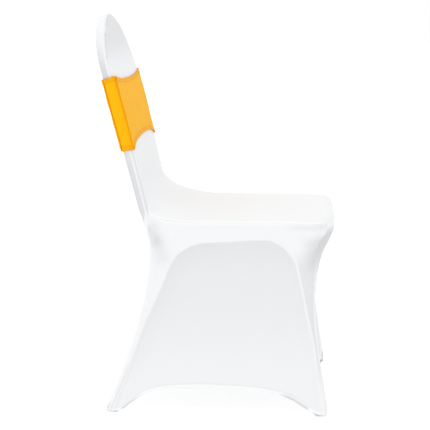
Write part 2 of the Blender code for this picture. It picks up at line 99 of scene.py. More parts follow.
# height, how far the seam lies behind the front of the back, round its padded edge
backSetback = (
    (0.474, 0.0000),
    (0.520, 0.0018),
    (0.600, 0.0042),
    (0.800, 0.0062),
    (0.860, 0.0055),
    (0.924, 0.0030),
)
# height, depth of the cloth behind the rear legs
rearLine = (
    (0.000, 0.0030),
    (0.015, 0.0005),
    (0.031, -0.0065),
    (0.060, -0.0185),
    (0.137, -0.0475),
    (0.185, -0.0640),
    (0.213, -0.0722),
    (0.289, -0.0915),
    (0.356, -0.1003),
    (0.387, -0.1010),
    (0.407, -0.0995),
    (0.426, -0.0950),
    (0.449, -0.0860),
    (0.474, -0.0765),
)
# height, depth of the apron at mid-width, depth at the front legs
frontLine = (
    (0.000, -0.4900, -0.5130),
    (0.023, -0.4900, -0.5138),
    (0.055, -0.4890, -0.5098),
    (0.114, -0.4855, -0.4997),
    (0.146, -0.4835, -0.4937),
    (0.213, -0.4825, -0.4848),
    (0.261, -0.4835, -0.4818),
    (0.315, -0.4880, -0.4828),
    (0.350, -0.4950, -0.4860),
    (0.373, -0.5030, -0.4905),
    (0.394, -0.5135, -0.4980),
    (0.413, -0.5215, -0.5100),
    (0.431, -0.5255, -0.5210),
    (0.463, -0.5260, -0.5255),
)
# depth, height of the seam along the seat's side
seatSeam = (
    (-0.0979, 0.4740),
    (-0.1035, 0.4680),
    (-0.1230, 0.4612),
    (-0.1490, 0.4580),
    (-0.2000, 0.4560),
    (-0.3100, 0.4560),
    (-0.4180, 0.4560),
    (-0.4670, 0.4535),
    (-0.4950, 0.4535),
    (-0.5110, 0.4560),
)
# depth, height at mid-width where the back bends into the seat
seatBend = (
    (-0.0830, 0.5480),
    (-0.0885, 0.5325),
    (-0.0985, 0.5190),
    (-0.1190, 0.5042),
    (-0.1520, 0.4900),
    (-0.1920, 0.4786),
    (-0.2400, 0.4712),
    (-0.2900, 0.4700),
)
# depth, height of the side hem
sideHem = (
    (-0.5040, 0.0070),
    (-0.4887, 0.0100),
    (-0.4732, 0.0170),
    (-0.4558, 0.0258),
    (-0.4306, 0.0415),
    (-0.4036, 0.0509),
    (-0.3728, 0.0570),
    (-0.3342, 0.0614),
    (-0.2336, 0.0651),
    (-0.1403, 0.0610),
    (-0.1013, 0.0520),
    (-0.0738, 0.0393),
    (-0.0540, 0.0252),
    (-0.0342, 0.0112),
    (-0.0200, 0.0068),
    (-0.0050, 0.0062),
)
# depth, height of the inner edge of the leg frame under the side panel
legFrame = (
    (-0.0050, -0.0200),
    (-0.0190, 0.0180),
    (-0.0510, 0.1090),
    (-0.0920, 0.2220),
    (-0.1270, 0.3000),
    (-0.1460, 0.3470),
    (-0.1620, 0.3780),
    (-0.1920, 0.3990),
    (-0.2190, 0.4080),
    (-0.2870, 0.4120),
    (-0.3510, 0.4170),
    (-0.3820, 0.4160),
    (-0.4120, 0.3980),
    (-0.4350, 0.3660),
    (-0.4470, 0.3170),
    (-0.4610, 0.2470),
    (-0.4770, 0.1790),
    (-0.4960, 0.0420),
    (-0.5030, -0.0200),
)
# height, depth of the line where the cloth leaves the front leg's tube
frontTube = (
    (0.000, -0.5000),
    (0.042, -0.4960),
    (0.179, -0.4770),
    (0.247, -0.4610),
    (0.317, -0.4470),
    (0.366, -0.4350),
)


def readTable(table, at, column=1):
    # smooth curve through a table's rows, without overshoot
    rows = np.array(sorted(table))
    x, y = rows[:, 0], rows[:, column]
    at = np.clip(np.asarray(at, float), x[0], x[-1])
    step = np.diff(x)
    slope = np.diff(y) / step
    product = slope[:-1] * slope[1:]
    total = np.where(product > 0, slope[:-1] + slope[1:], 1.0)
    inner = np.where(product > 0, 2 * product / total, 0.0)
    tangent = np.concatenate([slope[:1], inner, slope[-1:]])
    place = np.clip(np.searchsorted(x, at, side="right") - 1, 0, len(x) - 2)
    width = step[place]
    t = (at - x[place]) / width
    low = (2 * t**3 - 3 * t**2 + 1) * y[place] + (t**3 - 2 * t**2 + t) * tangent[place] * width
    high = (3 * t**2 - 2 * t**3) * y[place + 1] + (t**3 - t**2) * tangent[place + 1] * width
    return low + high


def smoothStep(value):
    value = np.clip(value, 0.0, 1.0)
    return value * value * (3 - 2 * value)


def rise(value, start, end):
    # 0 up to start, 1 past end and smooth between them; end may be the smaller
    return smoothStep((value - start) / (end - start))


def mix(first, second, share):
    return first + (second - first) * share


def resample(points, shares):
    # points at the given shares of a polyline's length
    points = np.asarray(points, float)
    runs = np.linalg.norm(np.diff(points, axis=0), axis=1)
    lengths = np.concatenate([[0.0], np.cumsum(runs)])
    target = np.asarray(shares) * lengths[-1]
    return np.stack([np.interp(target, lengths, points[:, k]) for k in range(points.shape[1])], 1)


def smoothLine(points, spacing, spread):
    # a polyline resampled evenly and rounded at its corners
    points = np.asarray(points, float)
    length = np.linalg.norm(np.diff(points, axis=0), axis=1).sum()
    count = max(int(length / spacing), 8)
    line = resample(points, np.linspace(0, 1, count + 1))
    reach = int(3 * spread / spacing)
    window = np.exp(-0.5 * (np.arange(-reach, reach + 1) * spacing / spread) ** 2)
    window /= window.sum()
    before = 2 * line[0] - line[reach:0:-1]
    after = 2 * line[-1] - line[-2:-reach - 2:-1]
    padded = np.concatenate([before, line, after])
    return np.stack([np.convolve(padded[:, k], window, "valid") for k in range(points.shape[1])], 1)


def frontFace(height):
    return readTable(backLines, height, 1)


def rearFace(height):
    upper = readTable(backLines, height, 2)
    lower = readTable(rearLine, height)
    return np.where(np.asarray(height) > cover["hipHeight"], upper, lower)


def cornerSize(height):
    share = rise(np.asarray(height), cover["roundLow"], cover["roundHigh"])
    across = mix(cover["legRound"], cover["seatRoundX"], share)
    along = mix(cover["legRound"], cover["seatRoundY"], share)
    return across, along


def sideWidth(height):
    return mix(cover["feetHalf"], cover["seatHalf"], np.asarray(height) / cover["seamHeight"])


def cornerDrop(past, along, away):
    share = np.clip(past / along, 0.0, 0.98)
    return away * (1 - np.sqrt(1 - share * share))


def sideX(depth, height):
    # half-width of the side panel before its folds and ridges
    roundX, roundY = cornerSize(height)
    frontStart = readTable(frontLine, height, 2) + roundY
    rearStart = rearFace(height) - cover["legRound"]
    width = sideWidth(height) - cornerDrop(frontStart - depth, roundY, roundX)
    past = readTable(frontTube, height) - depth
    past = 0.5 * (past + np.sqrt(past * past + 0.002 ** 2))
    facing = rise(height, 0.37, 0.29) * rise(height, 0.01, 0.08)
    width = width - cover["tubeTurn"] * past * facing
    rearDrop = cornerDrop(depth - rearStart, cover["legRound"], cover["legRound"])
    width = width - rearDrop * (1 - rise(height, 0.40, 0.44))
    hip = np.hypot(depth - seatSeam[0][0], height - cover["hipHeight"]) / cover["hipReach"]
    return width - (cover["seatHalf"] - cover["backHalf"]) * (1 - smoothStep(hip))


halfRound = 1 - math.sqrt(0.5)


def frontSeamDepth(height):
    return readTable(frontLine, height, 2) + cornerSize(height)[1] * halfRound


def rearSeamDepth(height):
    leg = rearFace(height) - cover["legRound"] * halfRound
    return mix(leg, frontFace(cover["hipHeight"]), rise(height, cover["seamTurn"], cover["hipHeight"]))


crown = {
    "top": 0.9220,
    "rise": 0.133,               # from the shoulder to the top
    "power": 1.7,                # of the curve between them: 2 is an ellipse
    "edgeRadius": 0.008,
    "topEdgeRadius": 0.004,
}


def crownOutline():
    # front edge of the back (x, height) from the middle of the crown to its shoulder
    turn = np.linspace(math.pi / 2, 0, 60)
    power = 2 / crown["power"]
    x = cover["backHalf"] * np.cos(turn) ** power
    height = crown["top"] - crown["rise"] + crown["rise"] * np.sin(turn) ** power
    return np.stack([x, height], 1)


rowCounts = {"crown": 36, "back": 60, "seat": 76, "skirt": 64}


def evenShares(count):
    return np.linspace(0, 1, count + 1)


def lateShares(count):
    return 1 - (1 - evenShares(count)) ** 1.2


def endShares(count, pull=0.45):
    share = evenShares(count)
    return share - pull * np.sin(2 * np.pi * share) / (2 * np.pi)


def crownSeam():
    outline = crownOutline()
    depth = frontFace(outline[:, 1]) + readTable(backSetback, outline[:, 1])
    top = resample(np.stack([outline[:, 0], depth, outline[:, 1]], 1), evenShares(rowCounts["crown"]))
    height = mix(outline[-1, 1], cover["hipHeight"], lateShares(rowCounts["back"])[1:])
    depth = frontFace(height) + readTable(backSetback, height)
    side = np.stack([np.full_like(height, outline[-1, 0]), depth, height], 1)
    return np.concatenate([top, side])


def seatSeamLine():
    depth = np.linspace(seatSeam[0][0], frontSeamDepth(cover["seamHeight"]), 300)
    height = readTable(seatSeam, depth)
    line = np.stack([sideX(depth, height), depth, height], 1)
    line[0] = crownSeam()[-1]
    return resample(line, endShares(rowCounts["seat"]))


def legSeamLine(depthAt, top):
    height = np.linspace(top[2], cover["hemFoot"], 300)
    depth = depthAt(height)
    line = np.stack([sideX(depth, height), depth, height], 1)
    line[0] = top
    return resample(line, evenShares(rowCounts["skirt"]))


def toFrame(grid):
    return grid - np.array([0.0, cover["mountDepth"], cover["seatTop"]])


def gridNormals(grid):
    along = np.gradient(grid, axis=0)
    across = np.gradient(grid, axis=1)
    normal = np.cross(along, across)
    length = np.linalg.norm(normal, axis=2, keepdims=True)
    return normal / np.maximum(length, 1e-9)


def edgeDistance(grid):
    # distance in metres of every point from each of the grid's four edges
    across = np.linalg.norm(np.diff(grid, axis=1), axis=2)
    down = np.linalg.norm(np.diff(grid, axis=0), axis=2)
    left = np.concatenate([np.zeros((grid.shape[0], 1)), np.cumsum(across, axis=1)], 1)
    right = left[:, -1:] - left
    top = np.concatenate([np.zeros((1, grid.shape[1])), np.cumsum(down, axis=0)], 0)
    bottom = top[-1:] - top
    return left, right, top, bottom


def ridge(distance, width):
    return np.exp(-(distance / width) ** 2)


def hemLayer(bottom):
    # 1 on the turned hem's double layer, 0 above it
    return smoothStep((cover["hemBand"] - bottom) / cover["hemStep"])


def hemStitch(bottom, above=0.0):
    return ridge(bottom - cover["hemBand"] - above, cover["stitchWidth"])


def uneven(grid, size, height):
    flat = grid.reshape(-1, 3)
    values = [noise.noise(Vector((p[0] / size, p[1] / size, p[2] / size))) for p in flat]
    return np.array(values).reshape(grid.shape[:2]) * height


def makeSheet(name, grid, attributes, flip=False, thickness=None):
    # a plane of squares laid on the grid's points, then thickened outwards
    rows, columns = grid.shape[:2]
    bpy.ops.object.select_all(action="DESELECT")
    bpy.ops.mesh.primitive_grid_add(x_subdivisions=columns - 1, y_subdivisions=rows - 1, size=1)
    piece = bpy.context.object
    piece.name = name
    piece.data.name = name
    mesh = piece.data
    mesh.vertices.foreach_set("co", toFrame(grid).reshape(-1).astype(np.float32))
    left, _, top, _ = edgeDistance(grid)
    uvLayer = mesh.uv_layers.active or mesh.uv_layers.new(name="UVMap")
    vertexOf = np.zeros(len(mesh.loops), dtype=np.int32)
    mesh.loops.foreach_get("vertex_index", vertexOf)
    middle = left - (left[:, -1:] / 2)
    cloth = np.stack([middle.reshape(-1), top.reshape(-1)], 1)
    uvLayer.data.foreach_set("uv", cloth[vertexOf].reshape(-1).astype(np.float32))
    for key, values in attributes.items():
        layer = mesh.attributes.new(key, "FLOAT", "POINT")
        layer.data.foreach_set("value", values.reshape(-1).astype(np.float32))
    mesh.update()
    bpy.ops.object.mode_set(mode="EDIT")
    bpy.ops.mesh.select_all(action="SELECT")
    bpy.ops.mesh.remove_doubles(threshold=0.00002)
    if flip:
        bpy.ops.mesh.flip_normals()
    bpy.ops.object.mode_set(mode="OBJECT")
    solid = piece.modifiers.new("cloth", "SOLIDIFY")
    solid.thickness = thickness or cover["cloth"]
    solid.offset = 1.0
    solid.use_even_offset = False
    bpy.ops.object.modifier_apply(modifier=solid.name)
    bpy.ops.object.shade_smooth_by_angle(angle=math.radians(50))
    piece.select_set(False)
    return piece


def mirrored(half):
    # a half grid from x = 0 outwards, with its mirror image on the other side
    other = half[:, :0:-1].copy()
    other[:, :, 0] *= -1
    return np.concatenate([other, half], 1)


frontPanel = {
    "columns": 60,
    "sharpness": 7.0,            # power of the seat's crown across its width
    "roll": 0.020,               # radius of the seat's front edge
    "frontEdge": -0.526,
    "flat": (0.400, 1.210),
}


def frontMiddle(apex, shoulder):
    depth = mix(seatBend[0][0], seatBend[-1][0], np.linspace(0, 1, 160) ** 2)
    bend = np.stack([depth * 0, depth, readTable(seatBend, depth)], 1)
    turn = np.linspace(math.pi / 2, math.pi, 24)
    radius = frontPanel["roll"]
    rollDepth = frontPanel["frontEdge"] + radius + radius * np.cos(turn)
    roll = np.stack([turn * 0, rollDepth, bend[-1, 2] - radius + radius * np.sin(turn)], 1)
    height = mix(apex, shoulder, evenShares(rowCounts["crown"]))
    top = np.stack([height * 0, frontFace(height), height], 1)
    height = np.linspace(shoulder, bend[0, 2], 60)
    straight = np.stack([height * 0, frontFace(height), height], 1)
    upper = resample(np.concatenate([straight, bend[1:81]]), lateShares(rowCounts["back"]))
    seat = resample(np.concatenate([bend[80:], roll]), endShares(rowCounts["seat"]))
    height = np.linspace(roll[-1, 2], cover["hemMiddle"], 200)
    skirt = np.stack([height * 0, readTable(frontLine, height, 1), height], 1)
    skirt = resample(skirt, evenShares(rowCounts["skirt"]))
    return np.concatenate([top, upper[1:], seat[1:], skirt[1:]])


def frontPanelGrid():
    hip = crownSeam()
    seat = seatSeamLine()
    leg = legSeamLine(frontSeamDepth, seat[-1])
    edge = np.concatenate([hip, seat[1:], leg[1:]])
    middle = frontMiddle(edge[0, 2], edge[rowCounts["crown"], 2])
    share = np.sin(np.pi / 2 * evenShares(frontPanel["columns"]))
    rows = []
    hipRow = rowCounts["crown"] + rowCounts["back"]
    skirtStart = hipRow + rowCounts["seat"]
    for index, (centre, side) in enumerate(zip(middle, edge)):
        x = side[0] * share
        if index <= rowCounts["crown"]:
            height = mix(centre[2], side[2], share ** 1.5)
            setback = float(readTable(backSetback, side[2]))
            depth = frontFace(height) + cornerDrop(setback - side[0] * (1 - share), setback, setback / 0.8)
        elif index < skirtStart:
            bend = share ** frontPanel["sharpness"]
            setback = float(readTable(backSetback, side[2])) if index < hipRow else 0.0
            depth = mix(centre[1], side[1] - setback, bend)
            height = mix(centre[2], side[2], bend)
            if setback > 0.0002:
                depth = depth + cornerDrop(setback - side[0] * (1 - share), setback, setback / 0.8)
        else:
            down = (index - skirtStart) / rowCounts["skirt"]
            roundX, roundY = cornerSize(side[2])
            start = side[0] - roundX * math.sqrt(0.5)
            bend = mix(share ** frontPanel["sharpness"], share ** cover["hemArch"], smoothStep(down))
            height = mix(centre[2], side[2], bend)
            depth = mix(centre[1], side[1] - roundY * halfRound, share ** 3)
            depth = depth + cornerDrop(x - start, roundX, roundY)
        rows.append(np.stack([x, depth, height], 1))
    return mirrored(np.array(rows))


def panelMarks(grid, broadShade, shadeAndSoleMark, hem, inside=None):
    # what the cloth's colour follows: the distance inside a backed edge, the broad painted shade there,
    # painted shade in folds, seams, stitches and under overhangs (below 0 a painted highlight), with the
    # pockets' darker bottoms, and the distance from its hem
    if inside is None:
        inside = np.full(grid.shape[:2], 0.1)
    return {"inside": inside, "broadShade": broadShade, "shadeAndSoleMark": np.clip(shadeAndSoleMark, -1, 1), "hem": hem}


def apronBroadShade(grid):
    # the apron and the back's skirt hang free between the legs, so they get painted shade, as of the dark
    # inside showing through the thin cloth
    low = rise(grid[:, :, 2], 0.40, 0.35)
    between = rise(np.abs(grid[:, :, 0]), 0.185, 0.179)
    return 0.7 * low * between


def buildFrontPanel():
    grid = frontPanelGrid()
    left, right, top, bottom = edgeDistance(grid)
    normal = gridNormals(grid)
    seam = np.minimum(left, right)
    height = grid[:, :, 2].copy()
    onBack = rise(height, 0.47, 0.49)
    stitched = rise(top, 0.02, 0.04)
    lift = 0.0006 * ridge(seam - 0.0022, 0.0022) * (1 - onBack) * stitched
    lift = lift + 0.0006 * hemLayer(bottom)
    lift = lift + uneven(grid, cover["waveSize"], cover["waveHeight"])
    facing = np.sign((normal * np.array([0.0, -0.5, 0.8])).sum(axis=2).mean())
    grid = grid + normal * facing * lift[:, :, None]
    # painted shade along the back's seam, stronger low on the back, and in the hem's stitch line
    seamShade = 0.20 + 0.45 * rise(height, 0.70, 0.66)
    shadeAndSoleMark = 0.35 * hemStitch(bottom) + seamShade * ridge(seam, 0.0015) * onBack
    # a painted highlight beside the seat's seam
    shadeAndSoleMark = shadeAndSoleMark - 0.22 * ridge(seam - 0.0020, 0.0050) * (1 - onBack) * rise(height, 0.44, 0.45)
    # painted shade on the apron under the seat's front overhang, and at the foot corners beside the legs
    apron = rise(height, 0.446, 0.424) * rise(height, 0.30, 0.41)
    shadeAndSoleMark = shadeAndSoleMark + 0.90 * apron * rise(grid[:, :, 1], -0.45, -0.47)
    shadeAndSoleMark = shadeAndSoleMark + rise(seam, cover["strip"], 0.020) * rise(height, 0.045, 0.035)
    # painted shade darkening the top of the back
    crownShade = 1.05 * rise(height, 0.790, 0.875)
    marks = panelMarks(grid, apronBroadShade(grid) + crownShade, shadeAndSoleMark, bottom)
    piece = makeSheet("frontPanel", grid, marks, flip=facing < 0)
    print("front panel made", len(piece.data.polygons))
    return piece


backPanel = {
    "stripColumns": 16,
    "faceColumns": 34,
    "pressedFrom": 0.612,        # the sash presses the strip flat between these heights
    "pressedTo": 0.792,
    "pressedFade": 0.006,
    "flat": (0.440, 0.900),
}


def turnCorner(start, corner, end, count):
    first = mix(start, corner, cover["cornerShare"])
    second = mix(end, corner, cover["cornerShare"])
    t = np.linspace(0, 1, count + 1)[:, None]
    s = 1 - t
    return start * s**3 + first * 3 * s * s * t + second * 3 * s * t * t + end * t**3


def outlineNormals(line):
    run = np.gradient(line, axis=0)
    run[0] = (1, 0, 0)
    facing = np.array([0.0, -1.0, cover["backLean"]])
    normal = np.cross(facing[None], run)
    return normal / np.linalg.norm(normal, axis=1, keepdims=True)


def backPanelGrid():
    seam = crownSeam()
    outward = outlineNormals(seam)
    crownRows = rowCounts["crown"]
    apex, shoulder = seam[0, 2], seam[crownRows, 2]
    inward = evenShares(backPanel["faceColumns"])[1:]
    rows = []
    for index, edge in enumerate(seam):
        early = min(index / crownRows, 1.0)
        radius = mix(crown["topEdgeRadius"], crown["edgeRadius"], early)
        corner = np.array([edge[0], float(rearFace(edge[2])), edge[2]])
        turned = corner - outward[index] * radius
        turned[1] = rearFace(turned[2])
        level = mix(apex, shoulder, early) - radius * (1 - early) if index <= crownRows else edge[2]
        strip = turnCorner(edge, corner, turned, backPanel["stripColumns"])
        height = mix(turned[2], level, inward)
        face = np.stack([turned[0] * (1 - inward), rearFace(height), height], 1)
        rows.append(np.concatenate([strip, face]))
    hipLevel = rows[-1][-1, 2]
    hipDrop = rows[-1][backPanel["stripColumns"], 2] - cover["hipHeight"]
    leg = legSeamLine(rearSeamDepth, seam[-1])
    for index, edge in enumerate(leg[1:], 1):
        share = index / rowCounts["skirt"]
        early = float(smoothStep(share * 4))
        level = edge[2] + hipDrop * (1 - early)
        width = mix(edge[0], float(sideWidth(edge[2])), early)
        radius = cover["legRound"]
        corner = np.array([width - 2 * halfRound * radius * early, float(rearFace(level)), level])
        turned = np.array([width - radius, float(rearFace(level)), level])
        strip = turnCorner(edge, corner, turned, backPanel["stripColumns"])
        middle = mix(hipLevel, cover["hemMiddle"], share)
        height = mix(middle, level, (1 - inward) ** mix(1.0, cover["hemArch"], share))
        face = np.stack([turned[0] * (1 - inward), rearFace(height), height], 1)
        rows.append(np.concatenate([strip, face]))
    half = np.array(rows)[:, ::-1]
    return mirrored(half)


# height, how much painted shade darkens the slack, unbacked cloth along the edge of the back
stripShade = (
    (0.440, 1.10),
    (0.480, 1.40),
    (0.580, 1.30),
    (0.612, 1.00),
    (0.760, 1.70),
    (0.805, 1.50),
    (0.830, 0.85),
    (0.860, 0.40),
    (0.900, 0.00),
)


def buildBackPanel():
    grid = backPanelGrid()
    left, right, _, bottom = edgeDistance(grid)
    normal = gridNormals(grid)
    seam = np.minimum(left, right)
    height = grid[:, :, 2].copy()
    onBack = rise(height, 0.465, 0.480)
    low, high, fade = backPanel["pressedFrom"], backPanel["pressedTo"], backPanel["pressedFade"]
    bare = 1 - rise(height, low, low + fade) * rise(height, high, high - fade)
    allowance = ridge(seam - 0.0056, 0.0019)       # the seam's allowance under the cloth
    lift = 0.0011 * allowance * onBack * bare
    lift = lift - 0.0010 * ridge(seam - 0.0012, 0.0012) * onBack * bare
    lift = lift - 0.0014 * rise(seam, 0.0075, 0.0105) * rise(seam, 0.021, 0.017) * onBack * bare
    lift = lift + 0.0010 * ridge(seam - 0.0020, 0.0020) * (1 - onBack)
    lift = lift + 0.0008 * ridge(seam - 0.0100, 0.0020) * rise(height, 0.42, 0.37)
    lift = lift + 0.0006 * hemLayer(bottom)
    lift = lift + uneven(grid, cover["waveSize"], cover["waveHeight"])
    facing = np.sign((normal * np.array([0.0, 1.0, 0.0])).sum(axis=2).mean())
    grid = grid + normal * facing * lift[:, :, None]
    grid[:, :, 0][np.abs(grid[:, :, 0]) < 1e-6] = 0.0
    nearEdge = rise(seam, cover["strip"], cover["strip"] - 0.004)
    onStrip = nearEdge * rise(height, 0.414, 0.438)
    stripBroadShade = readTable(stripShade, height) * onStrip * rise(seam, 0.0070, 0.0090)
    broadShade = np.maximum(apronBroadShade(grid), stripBroadShade)
    # painted shade in the grooves beside the seam, stronger low on the back, at the foot corners and in the
    # hem's stitch line
    deeper = 1 + 0.6 * rise(height, 0.70, 0.66)
    shadeAndSoleMark = 0.65 * deeper * ridge(seam - 0.0010, 0.0016) * onBack * rise(height, 0.90, 0.86)
    shadeAndSoleMark = shadeAndSoleMark + 0.30 * ridge(seam - 0.0195, 0.0014) * onBack * rise(height, 0.87, 0.83)
    shadeAndSoleMark = shadeAndSoleMark + 0.45 * rise(height, 0.034, 0.022) * nearEdge
    shadeAndSoleMark = shadeAndSoleMark + 0.35 * hemStitch(bottom)
    marks = panelMarks(grid, broadShade, shadeAndSoleMark, bottom)
    piece = makeSheet("backPanel", grid, marks, flip=facing < 0)
    print("back panel made", len(piece.data.polygons))
    return piece


sidePanel = {
    "rows": 150,
    "columns": 170,
    "recess": 0.006,             # how far the cloth sinks inside the leg frame
    "recessWidth": 0.045,
    "tube": 0.0022,              # rise from the frame's inner edge on to its tube
    "flat": (0.440, 0.420),
}
# depth and height of each fold's two ends, its half-width, how far it sinks and how shaded it is
sideFolds = (
    {"start": (-0.107, 0.436), "end": (-0.118, 0.410), "width": 0.0135, "sink": 0.0034, "shade": 0.36},
    {"start": (-0.120, 0.410), "end": (-0.132, 0.372), "width": 0.0190, "sink": 0.0024, "shade": 0.27},
    {"start": (-0.102, 0.470), "end": (-0.122, 0.462), "width": 0.0024, "sink": 0.0007, "shade": 0.12},
    {"start": (-0.104, 0.460), "end": (-0.128, 0.450), "width": 0.0024, "sink": 0.0007, "shade": 0.14},
    {"start": (-0.106, 0.450), "end": (-0.126, 0.438), "width": 0.0024, "sink": 0.0006, "shade": 0.12},
)
# height, how much painted shade darkens the side inside the leg frame, as the dark inside showing through the
# thin cloth: most under the seat
sideBroadShade = (
    (0.000, 0.15),
    (0.060, 0.15),
    (0.100, 0.22),
    (0.145, 0.32),
    (0.240, 0.56),
    (0.340, 0.72),
    (0.410, 0.98),
)


def frameDistance(depth, height):
    # distance inside the leg frame's inner edge, negative on the frame
    line = smoothLine(legFrame, 0.002, 0.010)
    run = np.gradient(line, axis=0)
    inward = np.stack([run[:, 1], -run[:, 0]], 1)
    inward /= np.linalg.norm(inward, axis=1, keepdims=True)
    middle = np.array([-0.27, 0.2])
    inward *= np.sign(((middle - line) * inward).sum(axis=1))[:, None]
    points = np.stack([depth.reshape(-1), height.reshape(-1)], 1)
    result = np.zeros(len(points))
    for start in range(0, len(points), 4000):
        part = points[start:start + 4000]
        away = part[:, None] - line[None]
        nearest = np.argmin((away**2).sum(axis=2), axis=1)
        chosen = away[np.arange(len(part)), nearest]
        side = np.sign((chosen * inward[nearest]).sum(axis=1))
        result[start:start + 4000] = np.linalg.norm(chosen, axis=1) * side
    return result.reshape(depth.shape)


def foldAmount(depth, height, folds, key):
    total = np.zeros_like(depth)
    for fold in folds:
        start, end = np.array(fold["start"]), np.array(fold["end"])
        run = end - start
        share = ((depth - start[0]) * run[0] + (height - start[1]) * run[1]) / (run @ run)
        nearest = np.clip(share, 0, 1)
        away = np.hypot(depth - start[0] - run[0] * nearest, height - start[1] - run[1] * nearest)
        total += fold[key] * np.exp(-(away / fold["width"]) ** 2)
    return total


def sidePanelGrid():
    shares = endShares(sidePanel["columns"], 0.35)
    downShares = evenShares(sidePanel["rows"])
    seat = resample(seatSeamLine(), shares)
    rear = resample(legSeamLine(rearSeamDepth, crownSeam()[-1]), downShares)
    front = resample(legSeamLine(frontSeamDepth, seatSeamLine()[-1]), downShares)
    depth = np.linspace(rear[-1, 1], front[-1, 1], 300)
    hem = resample(np.stack([depth * 0, depth, readTable(sideHem, depth)], 1), shares)
    s, t = shares[None, :, None], downShares[:, None, None]
    ruled = mix(seat[None], hem[None], t) + mix(rear[:, None], front[:, None], s)
    corners = mix(mix(seat[0], seat[-1], s), mix(hem[0], hem[-1], s), t)
    grid = ruled - corners
    grid[:, :, 0] = sideX(grid[:, :, 1], grid[:, :, 2])
    return grid


def buildSidePanel(name, side):
    grid = sidePanelGrid()
    left, right, top, bottom = edgeDistance(grid)
    seam = np.minimum(np.minimum(left, right), top)
    depth, height = grid[:, :, 1].copy(), grid[:, :, 2].copy()
    inside = frameDistance(depth, height)
    frontHalf = rise(depth, -0.36, -0.42)
    sink = sidePanel["recess"] * smoothStep(inside / sidePanel["recessWidth"])
    sink = sink + sidePanel["tube"] * rise(inside, -0.004, 0.006)
    sink = sink - (0.0004 + 0.0007 * frontHalf) * ridge(inside + 0.0010, 0.0018)
    sink = sink * smoothStep(seam / 0.010)
    sink = sink + foldAmount(depth, height, sideFolds, "sink") * smoothStep(seam / 0.006)
    normal = gridNormals(grid)
    facing = np.sign(normal[:, :, 0].mean())
    lift = 0.0009 * ridge(seam - 0.0018, 0.0020) - sink
    lift = lift + 0.0009 * ridge(left - 0.0115, 0.0019) * rise(height, 0.40, 0.35)
    lift = lift + 0.0007 * hemLayer(bottom)
    lift = lift + uneven(grid, 0.08, 0.0007)
    grid = grid + normal * facing * lift[:, :, None]
    low = rise(height, 0.16, 0.08)
    # painted shade in the hip's folds and in the grooves by the rear leg's seam, and a painted highlight
    # below the seat's seam
    shadeAndSoleMark = foldAmount(depth, height, sideFolds, "shade") * smoothStep(seam / 0.003)
    shadeAndSoleMark = shadeAndSoleMark + (0.10 + 0.45 * low) * ridge(left - 0.0075, 0.0016)
    shadeAndSoleMark = shadeAndSoleMark + 0.15 * low * ridge(left - 0.0160, 0.0018)
    shadeAndSoleMark = shadeAndSoleMark - 0.12 * ridge(top - 0.0030, 0.0035)
    # painted shade under the seat, under its front corner and down the front leg beside its tube
    underSeat = rise(depth, -0.400, -0.450) * rise(height, 0.456, 0.450)
    shadeAndSoleMark = shadeAndSoleMark + 0.24 * underSeat * rise(height, 0.434, 0.446)
    underCorner = rise(depth, -0.435, -0.510) * rise(height, 0.436, 0.406)
    shadeAndSoleMark = shadeAndSoleMark + 0.85 * underCorner * rise(height, 0.325, 0.385)
    frontLeg = rise(depth, -0.42, -0.45) * rise(height, 0.40, 0.35)
    shadeAndSoleMark = shadeAndSoleMark + 0.42 * frontLeg * rise(height, 0.06, 0.16) * rise(inside, -0.0030, -0.0060)
    # painted shade in the hem's stitch line and where the hem curls under near the feet, and a painted
    # highlight on the toes
    shadeAndSoleMark = shadeAndSoleMark + 0.25 * hemStitch(bottom, 0.0005)
    curled = rise(depth, -0.395, -0.425) * rise(depth, -0.472, -0.466)
    curled = curled + rise(depth, -0.085, -0.055) * rise(depth, -0.030, -0.038)
    toe = rise(depth, -0.468, -0.474) * rise(depth, -0.500, -0.490)
    toe = toe + rise(depth, -0.034, -0.028) * rise(depth, -0.010, -0.015)
    shadeAndSoleMark = shadeAndSoleMark + (0.80 * curled - 0.30 * toe) * ridge(bottom - 0.0020, 0.0042)
    # a dark line at the foot's bottom: partly the pocket's own darker bottom, partly painted shade where it
    # turns under
    soleAndShade = rise(depth, -0.476, -0.482) + rise(depth, -0.030, -0.024)
    shadeAndSoleMark = shadeAndSoleMark + 1.1 * soleAndShade * ridge(bottom, 0.0016)
    # the doubled hem band painted lighter: partly its real double layer, partly painted highlight
    shadeAndSoleMark = shadeAndSoleMark - 0.14 * (1 - curled) * (1 - toe) * hemLayer(bottom)
    broadShade = readTable(sideBroadShade, height)
    # more painted shade close inside the frame's edge, along the rear leg and the front leg
    rearward = rise(depth, -0.30, -0.22) * rise(height, 0.06, 0.14)
    broadShade = broadShade + 0.26 * np.exp(-np.maximum(inside, 0) / 0.022) * rearward
    broadShade = broadShade + 0.12 * np.exp(-np.maximum(inside, 0) / 0.020) * frontHalf
    marks = panelMarks(grid, broadShade, shadeAndSoleMark, bottom, inside)
    if side < 0:
        grid[:, :, 0] *= -1
    piece = makeSheet(name, grid, marks, flip=facing * side < 0)
    print(name, "made", len(piece.data.polygons))
    return piece


sash = {
    "out": 0.0019,               # above the chair's own surface
    "frontRadius": 0.0075,
    "slantTop": 0.0080,
    "slantBottom": 0.0045,
    "rows": 84,
    "faceColumns": 90,
    "hem": 0.009,
    "flat": (0.660, 0.170),
}
# place across the back (0 middle, 1 edge), lower edge, upper edge
sashEdges = (
    (0.00, 0.6392, 0.7728),
    (0.50, 0.6362, 0.7748),
    (0.80, 0.6305, 0.7795),
    (1.00, 0.6195, 0.7850),
)


